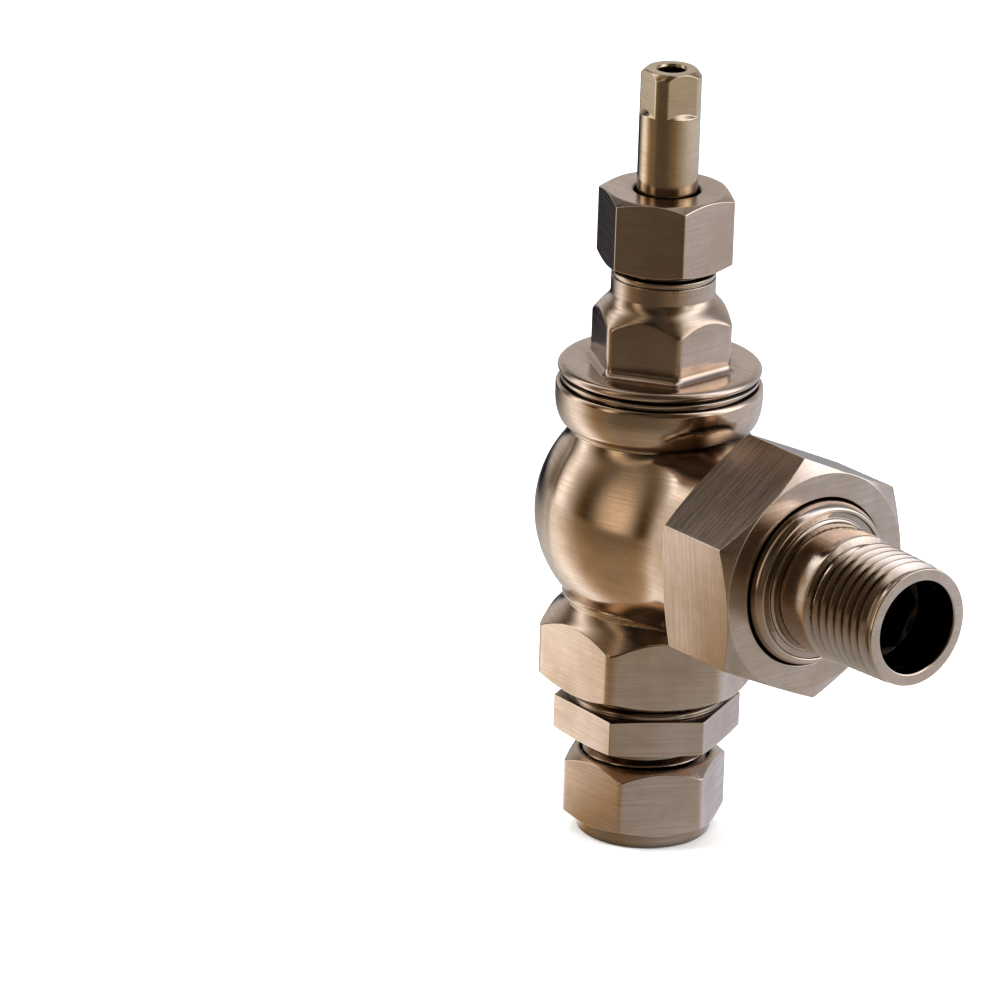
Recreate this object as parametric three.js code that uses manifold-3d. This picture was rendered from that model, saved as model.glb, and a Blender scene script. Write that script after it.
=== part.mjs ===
// Angled lockshield radiator valve: compression inlet for a 15 mm pipe below, union outlet with a
// 1/2 inch taper-threaded tail to the side, and a bare squared spindle on top.
// Millimetres, +Z up. The origin is on the inlet axis at the mouth of the compression nut, where the
// pipe enters. +X points out of the outlet. All threads are right-handed.
import * as THREE from "three";
import { mergeVertices } from "three/addons/utils/BufferGeometryUtils.js";
import Module from "manifold-3d";

const wasm = await Module();
wasm.setup();

// ---- Driving dimensions -------------------------------------------------------------------------

const FACETS = 20; // round a turned face and round one turn of a thread
const RUN = 0.3; // radial gap between a male thread and the female one it turns in
const PAST = 2; // how far a cutting tool runs past the face it opens

const OUTLET_HEIGHT = 56; // outlet axis above the mouth of the compression nut
const OVERALL_HEIGHT = 132; // top of the spindle with the valve half open

// Threads: outer and root radius of the male form, and the pitch.
const COMPRESSION_THREAD = { major: 10.48, minor: 9.32, pitch: 1.814 }; // G 1/2
const UNION_THREAD = { major: 16.62, minor: 15.15, pitch: 2.309 }; // G 1
const GLAND_THREAD = { major: 8.33, minor: 7.48, pitch: 1.337 }; // G 3/8
const SPINDLE_THREAD = { major: 6.0, minor: 4.9, pitch: 2.0 }; // trapezoidal 12 x 2
const TAIL_THREAD = { major: 10.48, minor: 9.32, pitch: 1.814, taper: 1 / 32 }; // R 1/2

const PIPE_SOCKET_RADIUS = 7.7; // slides over 15 mm tube
const INLET_BORE_RADIUS = 6.3;

const COMPRESSION_NUT = { flats: 24, top: 14, hexBottom: 2.6, collar: 11.3, turn: 3.6 };
const OLIVE = { bottom: 3.9, top: 8.6, radius: 8.5 };
const ADAPTOR = {
  bottom: 7,
  flats: 27,
  turn: -2.6,
  hexBottom: 17.4,
  hexTop: 23.55,
  shoulderTop: 24.7,
  groove: 9.3,
  spigot: 10.2,
  pipeStop: 20.5,
  top: 36.4,
};
const ADAPTOR_O_RING = { radius: 11.7, height: 25.3, section: 0.55 };
const BODY = {
  bottom: 25.9,
  flats: 32.5,
  hexTop: 40,
  lowerNeck: 14.2,
  upperNeck: 14.4,
  globe: 19.9,
  collar: 17.06,
  collarTop: 78.6,
  top: 79.1,
  lip: 15.7,
  outletNeck: 16.2,
  spigotEnd: 35.5,
  seat: 46.9,
  seatBore: 6,
  bonnetBore: 12.4,
  outletBore: 9,
};
const BONNET = {
  bottom: 69.5,
  spigot: 12.1,
  washerSeat: 15.6,
  flange: 16.77,
  flangeTop: 81.9,
  flats: 21,
  turn: 33.85,
  hexTop: 93.1,
  neck: 8.6,
  groove: 96.9,
  neckTop: 97.9,
  top: 106.3,
  packingFloor: 92,
  packingBore: 6.7,
};
const PACKING = { inner: 5.15, outer: 6.55, bottom: 93.1, middle: 96.65, top: 100.2, gap: 0.05 };
const FOLLOWER = { inner: 5.4, sleeve: 6.4, radius: 7.4, bottom: 100.4, rim: 107.7, top: 109 };
const GLAND_NUT = { flats: 20, bottom: 99.05, top: 111.5, hole: 5.45, turn: 35.3 };
const SPINDLE = {
  end: 58,
  shank: 4.1,
  threadBottom: 74,
  threadTop: 84.7,
  radius: 5,
  flats: 8.4,
  flatsBottom: 124.6,
  turn: -12.3,
  capHole: 2.1,
};
const CLIP = { inner: 3.5, outer: 4.9, bottom: 60.6, top: 61.4 };
const TAIL = {
  nose: 31.4,
  sleeve: 10.7,
  flange: 15,
  flangeEnd: 38.1,
  collar: 13.4,
  collarEnd: 41.9,
  neck: 10.6,
  threadStart: 50.6,
  pilot: 9.6,
  end: 65.8,
  bore: 6.6,
  socketFlats: 13,
};
const TAIL_O_RING = { radius: 10.2, height: 33.5, section: 0.65 };
const UNION_NUT = { flats: 36.8, back: 24.3, front: 40.7, shoulder: 38.4, turn: 5.6 };
const PLUG = { rim: 8.3, hub: 6.2, bottom: 51.2, top: 63 };
const WASHER_BOTTOM = 50; // underside of the seat washer, half open

// ---- Shape helpers ------------------------------------------------------------------------------

// A closed three.js geometry as a manifold-3d solid.
function solid(geometry) {
  const bare = geometry.clone();
  bare.deleteAttribute("normal");
  bare.deleteAttribute("uv");
  const merged = mergeVertices(bare, 1e-4);
  const vertProperties = new Float32Array(merged.attributes.position.array);
  const triVerts = new Uint32Array(merged.index.array);
  return new wasm.Manifold(new wasm.Mesh({ numProp: 3, vertProperties, triVerts }));
}

// Turns a profile of [radius, height] points about Z. The points run anticlockwise seen with radius
// to the right and height up. A profile off the axis is closed on itself.
function turned(points, facets = FACETS) {
  const profile = points.map(([r, z]) => new THREE.Vector2(r, z));
  const onAxis = points[0][0] === 0 && points.at(-1)[0] === 0;
  if (!onAxis) profile.push(profile[0].clone());
  return solid(new THREE.LatheGeometry(profile, facets).rotateX(Math.PI / 2));
}

function ring(inner, outer, low, high) {
  return turned([[inner, low], [outer, low], [outer, high], [inner, high]]);
}

const rod = (radius, low, high) => turned([[0, low], [radius, low], [radius, high], [0, high]]);

// Points on an arc of a profile, centred on [r, z], between two angles in degrees.
function arc([r, z], radius, from, to, steps) {
  return Array.from({ length: steps + 1 }, (_, i) => {
    const a = THREE.MathUtils.degToRad(from + ((to - from) * i) / steps);
    return [r + radius * Math.cos(a), z + radius * Math.sin(a)];
  });
}

// A hexagonal bar with its corners rounded, one corner turned `turn` degrees from +X.
function hexBar(flats, low, high, turn = 0, corner = 0.25) {
  const reach = (flats / 2 - corner) / Math.cos(Math.PI / 6);
  const shape = new THREE.Shape();
  for (let i = 0; i < 6; i++) {
    const a = (i * Math.PI) / 3;
    const [x, y] = [reach * Math.cos(a), reach * Math.sin(a)];
    shape.absarc(x, y, corner, a - Math.PI / 6, a + Math.PI / 6, false);
  }
  const settings = { depth: high - low, bevelEnabled: false, curveSegments: 2 };
  const bar = new THREE.ExtrudeGeometry(shape, settings);
  return solid(bar.rotateZ(THREE.MathUtils.degToRad(turn)).translate(0, 0, low));
}

// A threaded rod between two heights. The crest passes angle 0 at whole pitches above height 0, so
// every thread of one form is in phase with every other. `grow` makes the tap for a female thread.
function thread({ major, minor, pitch, taper = 0 }, low, high, grow = 0) {
  const root = minor + grow;
  const crest = major + grow;
  const turns = Math.ceil((high - low) / pitch) + 3;
  const start = (Math.floor(low / pitch) - 1.5) * pitch;
  const steps = turns * FACETS;
  const form = [[root, 0], [crest, pitch / 2]]; // one pitch of the flank, repeated by the helix
  const vertices = [];
  const triangles = [];
  for (let s = 0; s <= steps + FACETS; s++) {
    const angle = (2 * Math.PI * s) / FACETS;
    for (const [radius, rise] of form) {
      const z = start + (pitch * s) / FACETS + rise;
      const r = radius - taper * (z - low);
      vertices.push(r * Math.cos(angle), r * Math.sin(angle), z);
    }
  }
  const rootAt = (s) => 2 * s;
  const crestAt = (s) => 2 * s + 1;
  const bottom = vertices.length / 3;
  vertices.push(0, 0, start);
  vertices.push(0, 0, start + pitch * (turns + 1));
  for (let s = 0; s < steps; s++) {
    const above = s + FACETS;
    triangles.push(rootAt(s), rootAt(s + 1), crestAt(s + 1), rootAt(s), crestAt(s + 1), crestAt(s));
    triangles.push(crestAt(s), crestAt(s + 1), rootAt(above + 1));
    triangles.push(crestAt(s), rootAt(above + 1), rootAt(above));
  }
  for (let s = 0; s < FACETS; s++) {
    triangles.push(bottom, rootAt(s + 1), rootAt(s));
    triangles.push(bottom + 1, rootAt(steps + s), rootAt(steps + s + 1));
  }
  triangles.push(bottom, rootAt(0), crestAt(0), bottom, crestAt(0), rootAt(FACETS));
  const [lastRoot, lastCrest, topRoot] = [rootAt(steps), crestAt(steps), rootAt(steps + FACETS)];
  triangles.push(bottom + 1, lastCrest, lastRoot, bottom + 1, topRoot, lastCrest);
  const vertProperties = new Float32Array(vertices);
  const triVerts = new Uint32Array(triangles);
  const helix = new wasm.Manifold(new wasm.Mesh({ numProp: 3, vertProperties, triVerts }));
  return helix.intersect(rod(crest + PAST, low, high));
}

// A finished solid as a named mesh.
function piece(name, made, material) {
  const { numProp, vertProperties, triVerts } = made.getMesh();
  const positions = new Float32Array((vertProperties.length / numProp) * 3);
  for (let i = 0; i < positions.length / 3; i++) {
    positions.set(vertProperties.subarray(i * numProp, i * numProp + 3), i * 3);
  }
  const geometry = new THREE.BufferGeometry();
  geometry.setAttribute("position", new THREE.BufferAttribute(positions, 3));
  geometry.setIndex(new THREE.BufferAttribute(triVerts, 1));
  geometry.computeVertexNormals();
  const mesh = new THREE.Mesh(geometry, material);
  mesh.name = name;
  return mesh;
}

// ---- Materials ----------------------------------------------------------------------------------

const metal = (color, roughness) => new THREE.MeshStandardMaterial({ color, roughness, metalness: 1 });
const antiqueBrass = metal(0x7d6a52, 0.35);
const spindleBrass = metal(0xa08560, 0.3);
const bareBrass = metal(0xc9a55c, 0.3);
const rubber = new THREE.MeshStandardMaterial({ color: 0x151515, roughness: 0.8, metalness: 0 });
const packing = new THREE.MeshStandardMaterial({ color: 0xe4e0d6, roughness: 0.7, metalness: 0 });

// ---- Inlet: compression nut, olive and adaptor --------------------------------------------------

function compressionNut() {
  const { flats, top, hexBottom, collar, turn } = COMPRESSION_NUT;
  const reach = flats / Math.sqrt(3);
  const outside = turned([
    [0, 0], [collar - 1, 0], ...arc([collar - 1, 1], 1, -60, 0, 2), [collar, hexBottom],
    [flats / 2, hexBottom], [reach, hexBottom + 1], [reach, top - 1.6], [flats / 2 - 0.4, top], [0, top],
  ]);
  const inside = turned([
    [0, -PAST], [PIPE_SOCKET_RADIUS, -PAST], [PIPE_SOCKET_RADIUS, 3], [9.3, 4.8], [10.8, 4.8], [10.8, 6],
    [COMPRESSION_THREAD.minor + RUN, 6], [COMPRESSION_THREAD.minor + RUN, top - 1.4], [11, top],
    [11, top + PAST], [0, top + PAST],
  ]);
  return hexBar(flats, 0, top, turn)
    .intersect(outside)
    .subtract(inside)
    .subtract(thread(COMPRESSION_THREAD, 5.5, top + 0.5, RUN));
}

function olive() {
  const { bottom, top, radius } = OLIVE;
  const inner = PIPE_SOCKET_RADIUS - 0.05;
  return turned([
    [inner, bottom], [radius - 0.4, bottom], [radius, bottom + 1], [radius, bottom + 2.4],
    [inner + 0.2, top],
    [inner, top],
  ]);
}

function pipeAdaptor() {
  const { bottom, flats, turn, hexBottom, hexTop, shoulderTop, groove, spigot, pipeStop, top } = ADAPTOR;
  const reliefBottom = hexBottom - 1.5;
  const neck = COMPRESSION_THREAD.minor - 0.1;
  const core = turned([
    [0, bottom], [neck, bottom], [neck, shoulderTop], [groove, shoulderTop], [groove, BODY.bottom + 0.6],
    [spigot, BODY.bottom + 1.4], [spigot, top - 0.6], [spigot - 0.6, top], [0, top],
  ]);
  const shoulder = turned([
    [0, hexTop - 1], [12.9, hexTop - 1], [12.9, shoulderTop - 0.4], [12.5, shoulderTop], [0, shoulderTop],
  ]);
  const leadIn = turned([
    [0, bottom], [9.2, bottom], [10.6, bottom + 1.3], [10.6, reliefBottom], [0, reliefBottom],
  ]);
  const inside = turned([
    [0, bottom - PAST], [8.6, bottom - PAST], [8.6, bottom], [8, 9.2], [PIPE_SOCKET_RADIUS, 9.4],
    [PIPE_SOCKET_RADIUS, pipeStop], [INLET_BORE_RADIUS, pipeStop + 0.5], [INLET_BORE_RADIUS, top + PAST],
    [0, top + PAST],
  ]);
  return core
    .add(hexBar(flats, hexBottom, hexTop, turn))
    .add(shoulder)
    .add(thread(COMPRESSION_THREAD, bottom, reliefBottom).intersect(leadIn))
    .subtract(inside);
}

// A ring of round section, where radius and height place the centre of the section.
function oRing({ radius, height, section }) {
  return turned(arc([radius, height], section, -180, 135, 7));
}

// ---- Valve body ---------------------------------------------------------------------------------

function valveBody() {
  const { bottom, flats, hexTop, lowerNeck, upperNeck, globe, collar, collarTop, top, lip } = BODY;
  const { outletNeck, spigotEnd, seat, seatBore, bonnetBore, outletBore } = BODY;
  const reach = flats / Math.sqrt(3);
  const hexEnvelope = turned([
    [0, bottom], [15, bottom], [reach, bottom + 2.1], [reach, hexTop - 3.8], [lowerNeck + 0.4, hexTop],
    [0, hexTop],
  ]);
  const neckAngle = (neck) => THREE.MathUtils.radToDeg(Math.acos(neck / globe));
  const outline = turned([
    [0, hexTop - 1], [lowerNeck, hexTop - 1],
    ...arc([0, OUTLET_HEIGHT], globe, -neckAngle(lowerNeck), neckAngle(upperNeck), 10),
    [upperNeck, 71.2], [16, 71.9], [16.8, 73.1], [collar, 74.8], [collar, collarTop - 0.6],
    [collar - 0.5, collarTop], [lip, collarTop], [lip, top], [0, top],
  ]);
  const chamber = [
    [seatBore, 37.4], [seatBore, seat], [7.6, seat], [8.4, seat - 1.3],
    ...arc([0, OUTLET_HEIGHT], 16, -40.5, 38.5, 6),
  ];
  const inside = turned([
    [0, bottom - PAST], [10.5, bottom - PAST], [10.5, 37], ...chamber,
    [bonnetBore, 67], [bonnetBore, top + PAST], [0, top + PAST],
  ]);
  const spigot = turned([
    [0, 0], [outletNeck, 0], [outletNeck, UNION_NUT.back + 0.9], [UNION_THREAD.minor, UNION_NUT.back + 2],
    [UNION_THREAD.minor, spigotEnd], [0, spigotEnd],
  ]);
  const spigotLeadIn = turned([
    [0, UNION_NUT.back + 2], [outletNeck + 1, UNION_NUT.back + 2], [outletNeck + 1, spigotEnd - 1.6],
    [UNION_THREAD.minor, spigotEnd], [0, spigotEnd],
  ]);
  const spigotThread = thread(UNION_THREAD, UNION_NUT.back + 1, spigotEnd).intersect(spigotLeadIn);
  const outletBoreTool = turned([
    [0, 0], [outletBore, 0], [outletBore, 31], [11, 31], [11, spigotEnd - 0.6], [11.6, spigotEnd],
    [11.6, spigotEnd + PAST], [0, spigotEnd + PAST],
  ]);
  const alongOutlet = (tool) => tool.rotate([0, 90, 0]).translate([0, 0, OUTLET_HEIGHT]);
  return hexBar(flats, bottom, hexTop, 0, 1.5)
    .intersect(hexEnvelope)
    .add(outline)
    .add(alongOutlet(spigot.add(spigotThread)))
    .subtract(inside)
    .subtract(alongOutlet(outletBoreTool));
}

// ---- Bonnet, gland and spindle ------------------------------------------------------------------

function bonnet() {
  const { bottom, spigot, washerSeat, flange, flangeTop, flats, turn, hexTop, neck } = BONNET;
  const { groove, neckTop, top, packingFloor, packingBore } = BONNET;
  const flangeBottom = BODY.top + 1.2;
  const reach = flats / Math.sqrt(3);
  const base = turned([
    [0, bottom], [spigot - 0.7, bottom], [spigot, bottom + 0.7], [spigot, BODY.top + 0.65],
    [washerSeat, BODY.top + 0.65], [washerSeat, flangeBottom], [flange, flangeBottom],
    [flange, flangeTop - 0.8],
    [flange - 1.4, flangeTop], [0, flangeTop],
  ]);
  const dome = turned([
    [0, flangeTop - 1], [reach + 0.3, flangeTop - 1],
    ...arc([neck, hexTop - 4.4], reach + 0.3 - neck, 0, 60, 4), [neck, hexTop], [0, hexTop],
  ]);
  const throat = turned([
    [0, hexTop - 1], [neck, hexTop - 1], [neck, groove], [neck - 0.35, groove], [neck - 0.35, groove + 0.3],
    [neck, groove + 0.3], [neck, neckTop], [GLAND_THREAD.minor, neckTop], [GLAND_THREAD.minor, top],
    [0, top],
  ]);
  const leadIn = turned([
    [0, neckTop + 1.1], [neck, neckTop + 1.1], [neck, top - 1.1], [GLAND_THREAD.minor, top], [0, top],
  ]);
  const inside = turned([
    [0, bottom - PAST], [9.2, bottom - PAST], [9.2, bottom + 4], [SPINDLE_THREAD.minor + RUN, bottom + 5],
    [SPINDLE_THREAD.minor + RUN, 88], [SPINDLE.radius + RUN, 88.3], [SPINDLE.radius + RUN, packingFloor],
    [packingBore, packingFloor], [packingBore, top + PAST], [0, top + PAST],
  ]);
  return base
    .add(hexBar(flats, flangeTop - 0.5, hexTop, turn, 1).intersect(dome))
    .add(throat)
    .add(thread(GLAND_THREAD, neckTop + 1, top).intersect(leadIn))
    .subtract(inside)
    .subtract(thread(SPINDLE_THREAD, 73, 88, RUN));
}

function glandNut() {
  const { flats, bottom, top, hole, turn } = GLAND_NUT;
  const reach = flats / Math.sqrt(3);
  const outside = turned([
    [0, bottom], [flats / 2 - 0.1, bottom], [reach, bottom + 0.85], [reach, top - 0.9],
    [flats / 2 - 0.1, top],
    [0, top],
  ]);
  const inside = turned([
    [0, bottom - PAST], [9, bottom - PAST], [9, bottom + 0.5], [GLAND_THREAD.minor + RUN, bottom + 1.6],
    [GLAND_THREAD.minor + RUN, FOLLOWER.top + 0.3], [hole, FOLLOWER.top + 0.3], [hole, top - 0.3],
    [hole + 0.3, top],
    [hole + 0.3, top + PAST], [0, top + PAST],
  ]);
  return hexBar(flats, bottom, top, turn)
    .intersect(outside)
    .subtract(inside)
    .subtract(thread(GLAND_THREAD, bottom - 1, FOLLOWER.top - 0.1, RUN));
}

function packingWasher() {
  const { inner, outer, bottom } = PACKING;
  return ring(inner + 0.25, outer - 0.05, BONNET.packingFloor + 0.1, bottom - 0.1);
}

function packingRing(low, high) {
  return ring(PACKING.inner, PACKING.outer, low, high);
}

function glandFollower() {
  const { inner, sleeve, radius, bottom, rim, top } = FOLLOWER;
  return turned([
    [inner, bottom], [sleeve, bottom], [sleeve, rim], [radius, rim], [radius, top], [inner, top],
  ]);
}

function spindle() {
  const { end, shank, threadBottom, threadTop, radius, flats, flatsBottom, turn, capHole } = SPINDLE;
  const clipRoot = CLIP.inner - 0.2;
  const core = turned([
    [0, end], [shank - 0.4, end], [shank, end + 0.4], [shank, CLIP.bottom - 0.2],
    [clipRoot, CLIP.bottom - 0.2],
    [clipRoot, CLIP.top + 0.2], [shank, CLIP.top + 0.2], [shank, threadBottom],
    [SPINDLE_THREAD.minor, threadBottom + 0.8], [SPINDLE_THREAD.minor, threadTop],
    [radius, threadTop], [radius, OVERALL_HEIGHT - 0.8], [radius - 0.8, OVERALL_HEIGHT],
    [0, OVERALL_HEIGHT],
  ]);
  const drill = turned([
    [0, OVERALL_HEIGHT - 9], [capHole, OVERALL_HEIGHT - 8], [capHole, OVERALL_HEIGHT - 0.4],
    [capHole + 0.4, OVERALL_HEIGHT], [capHole + 0.4, OVERALL_HEIGHT + PAST], [0, OVERALL_HEIGHT + PAST],
  ]);
  const height = OVERALL_HEIGHT + PAST - flatsBottom;
  const middle = flatsBottom + height / 2;
  const ringOff = rod(radius + PAST, flatsBottom, flatsBottom + height);
  const square = solid(new THREE.BoxGeometry(flats, flats, height + PAST).translate(0, 0, middle));
  const flatsTool = ringOff.subtract(square.rotate([0, 0, turn]));
  return core.add(thread(SPINDLE_THREAD, threadBottom, threadTop)).subtract(flatsTool).subtract(drill);
}

// ---- Plug: swivels on the spindle's end and carries the seat washer ------------------------------

function plugHolder() {
  const { rim, hub, bottom, top } = PLUG;
  return turned([
    [0, 56.9], [2.2, 56.9], [2.2, bottom + 1.9], [7.5, bottom + 1.9], [7.5, bottom], [rim, bottom],
    [rim, bottom + 4.2], [rim - 0.6, bottom + 4.8], [hub, bottom + 5.2], [hub, top - 0.5],
    [hub - 0.5, top], [4.4, top], [4.4, 61.9], [5.3, 61.9], [5.3, 60.1],
    [4.4, 60.1], [4.4, 57.6], [0, 57.6],
  ]);
}

function seatWasher() {
  return ring(2.3, 7.3, WASHER_BOTTOM, WASHER_BOTTOM + 3);
}

function washerScrew() {
  const headBottom = WASHER_BOTTOM - 2.4;
  const slot = solid(new THREE.BoxGeometry(8, 0.8, 1).translate(0, 0, headBottom));
  return turned([
    [0, headBottom], [2.4, headBottom], [3, headBottom + 0.5], [3, headBottom + 1.5],
    [1.9, headBottom + 1.5],
    [1.9, 56.6], [0, 56.6],
  ]).subtract(slot);
}

function spindleClip() {
  const { inner, outer, bottom, top } = CLIP;
  const opening = solid(new THREE.BoxGeometry(3, 2, 4).translate(inner + 1.1, 0, bottom));
  return ring(inner, outer, bottom, top).subtract(opening);
}

// ---- Outlet, modelled along its own Z axis with its height 0 on the valve's axis ------------------

function radiatorTail() {
  const { nose, sleeve, flange, flangeEnd, collar, collarEnd, neck, threadStart, pilot } = TAIL;
  const { end, bore, socketFlats } = TAIL;
  const threadEnd = end - 0.8;
  const seal = TAIL_O_RING.height;
  const outside = turned([
    [0, nose], [sleeve - 0.4, nose], [sleeve, nose + 0.4], [sleeve, seal - 0.9], [sleeve - 1.2, seal - 0.9],
    [sleeve - 1.2, seal + 0.9], [sleeve, seal + 0.9], [sleeve, BODY.spigotEnd + 0.3],
    [flange, BODY.spigotEnd + 0.3], [flange, flangeEnd], [collar, flangeEnd], [collar, collarEnd],
    ...arc([collar - 0.8, collarEnd], 0.8, 30, 90, 2), [11.3, collarEnd + 1.2], [neck, collarEnd + 1.9],
    [neck, threadStart - 0.5], [TAIL_THREAD.minor - 0.1, threadStart + 0.6],
    [TAIL_THREAD.minor - 0.6, threadEnd - 0.4],
    [pilot, threadEnd - 0.4], [pilot, end - 0.2], [pilot - 0.2, end], [0, end],
  ]);
  const leadIn = turned([
    [0, threadStart], [12, threadStart], [12, threadEnd - 2], [pilot, threadEnd], [0, threadEnd],
  ]);
  const inside = turned([
    [0, nose - PAST], [bore, nose - PAST], [bore, end - 1.2], [7.6, end - 1.2], [7.8, end],
    [7.8, end + PAST],
    [0, end + PAST],
  ]);
  return outside
    .add(thread(TAIL_THREAD, threadStart, threadEnd).intersect(leadIn))
    .subtract(inside)
    .subtract(hexBar(socketFlats, 52, end, 30));
}

function unionNut() {
  const { flats, back, front, shoulder, turn } = UNION_NUT;
  const reach = flats / Math.sqrt(3);
  const outside = turned([
    [0, back], [flats / 2 - 0.1, back], [reach, back + 1], [reach, front - 1.5], [flats / 2 - 0.1, front],
    [0, front],
  ]);
  const inside = turned([
    [0, back - PAST], [17.2, back - PAST], [17.2, back + 1.6], [UNION_THREAD.minor + RUN, back + 3],
    [UNION_THREAD.minor + RUN, shoulder], [13.8, shoulder], [13.8, front - 0.5], [14.3, front],
    [14.3, front + PAST], [0, front + PAST],
  ]);
  return hexBar(flats, back, front, turn)
    .intersect(outside)
    .subtract(inside)
    .subtract(thread(UNION_THREAD, back - 1, shoulder - 1.2, RUN));
}

// ---- Assembly -----------------------------------------------------------------------------------

const outlet = new THREE.Group();
outlet.position.set(0, 0, OUTLET_HEIGHT);
outlet.rotation.y = Math.PI / 2;
outlet.add(
  piece("radiator_tail", radiatorTail(), antiqueBrass),
  piece("tail_o_ring", oRing(TAIL_O_RING), rubber),
  piece("union_nut", unionNut(), antiqueBrass),
);

const valve = new THREE.Group();
valve.add(
  piece("valve_body", valveBody(), antiqueBrass),
  piece("pipe_adaptor", pipeAdaptor(), antiqueBrass),
  piece("adaptor_o_ring", oRing(ADAPTOR_O_RING), rubber),
  piece("compression_nut", compressionNut(), antiqueBrass),
  piece("olive", olive(), bareBrass),
  piece("bonnet", bonnet(), antiqueBrass),
  piece("bonnet_washer", ring(12.6, 16.4, BODY.top + 0.05, BODY.top + 0.6), bareBrass),
  piece("gland_nut", glandNut(), antiqueBrass),
  piece("gland_follower", glandFollower(), bareBrass),
  piece("packing_washer", packingWasher(), bareBrass),
  piece("gland_packing_lower", packingRing(PACKING.bottom, PACKING.middle - PACKING.gap), packing),
  piece("gland_packing_upper", packingRing(PACKING.middle + PACKING.gap, PACKING.top), packing),
  piece("spindle", spindle(), spindleBrass),
  piece("spindle_clip", spindleClip(), bareBrass),
  piece("plug_holder", plugHolder(), bareBrass),
  piece("seat_washer", seatWasher(), rubber),
  piece("seat_washer_plate", ring(2.1, 3.8, WASHER_BOTTOM - 0.85, WASHER_BOTTOM - 0.05), bareBrass),
  piece("seat_washer_screw", washerScrew(), bareBrass),
  outlet,
);

export default valve;
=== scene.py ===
"""Looks of an angled lockshield radiator valve in antique brass.

Every piece is a fine mesh that stands for one CAD node. The CAD frame gives heights and places; the
sizes below are in millimetres and the finished meshes are in metres, +Z up.
"""
from math import atan2, cos, pi, radians, sin, sqrt

import bmesh
import bpy
import numpy as np
from mathutils import Matrix, Vector


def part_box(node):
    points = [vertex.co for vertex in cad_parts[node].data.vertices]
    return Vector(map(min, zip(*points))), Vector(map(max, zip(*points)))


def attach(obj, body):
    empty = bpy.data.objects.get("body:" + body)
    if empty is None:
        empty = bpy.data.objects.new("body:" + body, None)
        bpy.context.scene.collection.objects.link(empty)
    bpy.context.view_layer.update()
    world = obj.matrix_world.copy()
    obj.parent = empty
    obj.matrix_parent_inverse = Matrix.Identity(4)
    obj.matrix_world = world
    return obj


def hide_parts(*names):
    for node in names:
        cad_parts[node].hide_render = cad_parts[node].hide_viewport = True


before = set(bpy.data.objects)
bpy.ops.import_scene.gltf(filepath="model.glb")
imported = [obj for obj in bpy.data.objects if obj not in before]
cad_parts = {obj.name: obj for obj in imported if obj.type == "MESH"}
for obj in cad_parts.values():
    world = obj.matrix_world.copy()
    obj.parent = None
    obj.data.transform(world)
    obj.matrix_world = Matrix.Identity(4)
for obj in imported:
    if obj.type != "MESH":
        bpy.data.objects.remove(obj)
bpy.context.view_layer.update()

MM = 0.001
ROUND = 120  # columns round a turned piece
SHARP_ANGLE = radians(34)
TAIL_BORE = 7.75  # radius of the radiator tail's mouth, and of the painted shade inside it
THREAD_GAP = 0.2  # radial gap between a male and a female thread
THREAD_SUNK = 0.5  # how deep a ridge's foot goes into its core
THREAD_FADE = 2.2  # radians over which a ridge's ends rise
WELD = 2e-4  # points closer than this are merged
LONGEST_EASE = 0.46  # share of an edge that one eased corner may take


# ---- Places from the frame ----------------------------------------------------------------------

def extent(node, axis="z"):
    """Lowest and highest millimetre of a CAD node along an axis."""
    low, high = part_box(node)
    k = "xyz".index(axis)
    return low[k] / MM, high[k] / MM


OUTLET_HEIGHT = sum(extent("radiator_tail", "z")) / 2
THREADS = {  # outer radius, root radius, pitch
    "compression": (10.48, 9.32, 1.814),
    "union": (16.62, 15.15, 2.309),
    "gland": (8.33, 7.48, 1.337),
    "spindle": (6.0, 4.9, 2.0),
    "tail": (10.48, 9.32, 1.814),
}
THREAD_SECTION = [  # share of the ridge's height, place along the axis in pitches
    (-0.3, -0.48), (0.0, -0.475), (0.86, -0.12), (0.97, -0.06), (1.0, 0.0),
    (0.97, 0.06), (0.86, 0.12), (0.0, 0.475), (-0.3, 0.48),
]
HEXAGONS = {  # across flats, corner radius, degrees from the piece's own +X to a corner
    "compression_nut": (24, 1.0, 3.6),
    "pipe_adaptor": (27, 0.35, -2.6),
    "valve_body": (32.5, 2.2, 0),
    "bonnet": (21, 1.7, 33.85),
    "gland_nut": (20, 0.35, 35.3),
    "radiator_tail": (13, 0.4, 30),
    "union_nut": (36.8, 0.4, 5.6),
}


# ---- Mesh building ------------------------------------------------------------------------------

class Bar:
    """Outline of a hexagonal bar with rounded corners: its radius at each angle."""

    def __init__(self, node):
        self.flats, self.corner, turn = HEXAGONS[node]
        self.turn = radians(turn)
        self.half = pi / 6
        corner = self.corner
        self.centre = (self.flats / 2 - corner) / cos(self.half)
        self.tangent = atan2(corner * sin(self.half), self.centre + corner * cos(self.half))

    def angles(self, on_corner=6, on_flat=15):
        """Columns that stand closer together round each corner."""
        step = 2 * self.half
        guard = min(0.03, (self.half - self.tangent) / 4)
        arc = np.linspace(-self.tangent, self.tangent, on_corner + 1)
        flat = np.linspace(self.tangent + guard, step - self.tangent - guard, on_flat)
        sector = np.concatenate([arc, flat])
        return np.concatenate([self.turn + k * step + sector for k in range(6)])

    def radius(self, theta):
        step = 2 * self.half
        phi = (theta - self.turn + self.half) % step - self.half
        flat = self.flats / 2 / np.cos(self.half - np.abs(phi))
        inside = np.maximum(self.corner**2 - (self.centre * np.sin(phi)) ** 2, 0)
        arc = self.centre * np.cos(phi) + np.sqrt(inside)
        return np.where(np.abs(phi) < self.tangent, arc, flat)


def even(count=ROUND):
    return np.arange(count) * 2 * pi / count


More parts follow.
